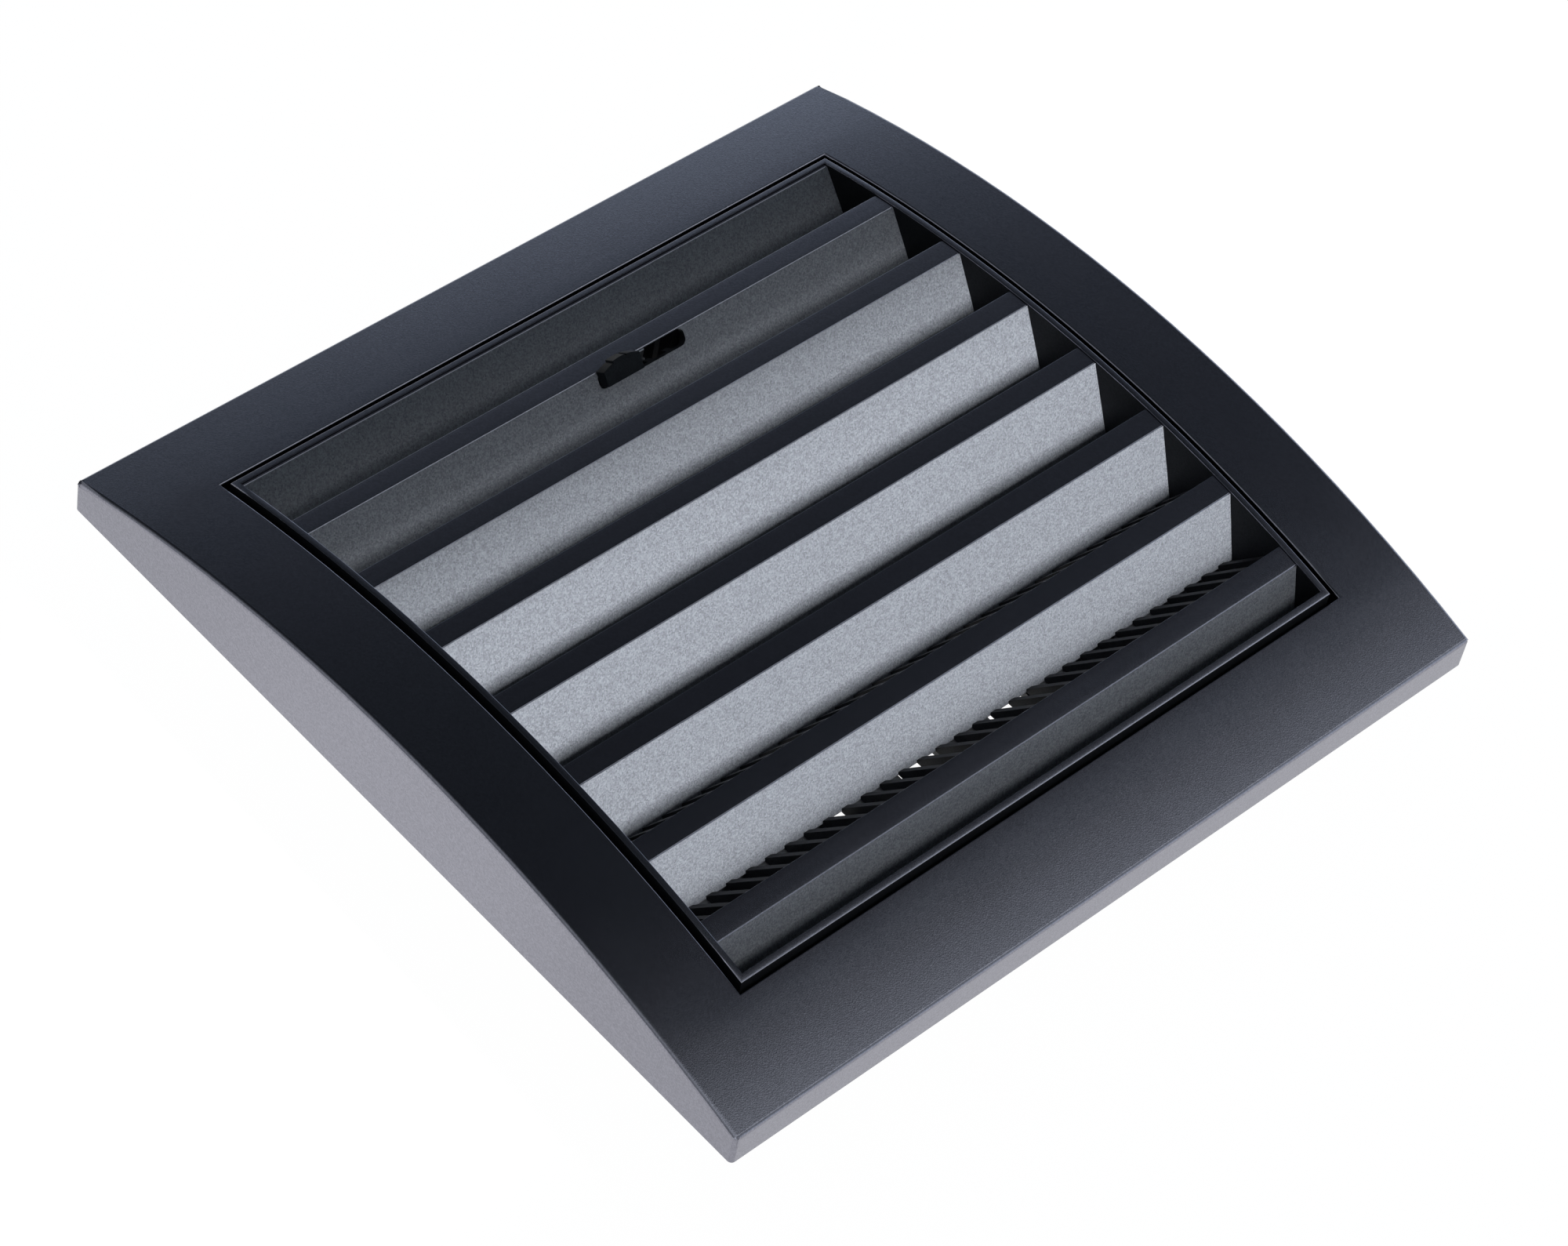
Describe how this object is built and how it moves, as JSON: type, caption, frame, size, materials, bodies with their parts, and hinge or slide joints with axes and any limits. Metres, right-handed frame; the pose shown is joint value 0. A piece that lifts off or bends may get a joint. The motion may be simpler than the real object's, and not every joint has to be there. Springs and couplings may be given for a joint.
{
  "type": "adjustable vent grille",
  "caption": "Wall vent grille with a curved louvred front and a sliding hit-and-miss shutter moved by a small knob, on a collar for a round duct.",
  "frame": {"origin": "on the duct's axis, in the wall plane, which is the back face of the back plate", "axes": "+X along the louvres, +Y across them towards the louvre with the knob, +Z out of the wall"},
  "size_m": [0.2, 0.194, 0.0634],
  "materials": {
    "frame_plastic": "anthracite plastic with a fine metallic grain",
    "louvre_plastic": "anthracite plastic with a fine metallic grain",
    "plate_plastic": "anthracite plastic, plain moulded",
    "shutter_plastic": "anthracite plastic, plain moulded",
    "knob_plastic": "near-black plastic"
  },
  "bodies": {
    "housing": {"outer_frame": "frame_plastic", "louvre_insert": "louvre_plastic", "back_plate": "plate_plastic", "duct_collar": "plate_plastic"},
    "shutter": {"shutter_plate": "shutter_plastic", "control_knob": "knob_plastic"}
  },
  "joints": [
    {"name": "shutter_slide", "type": "slide", "parent": "housing", "child": "shutter", "axis": [1, 0, 0], "range_m": [0, 0.0122]}
  ]
}
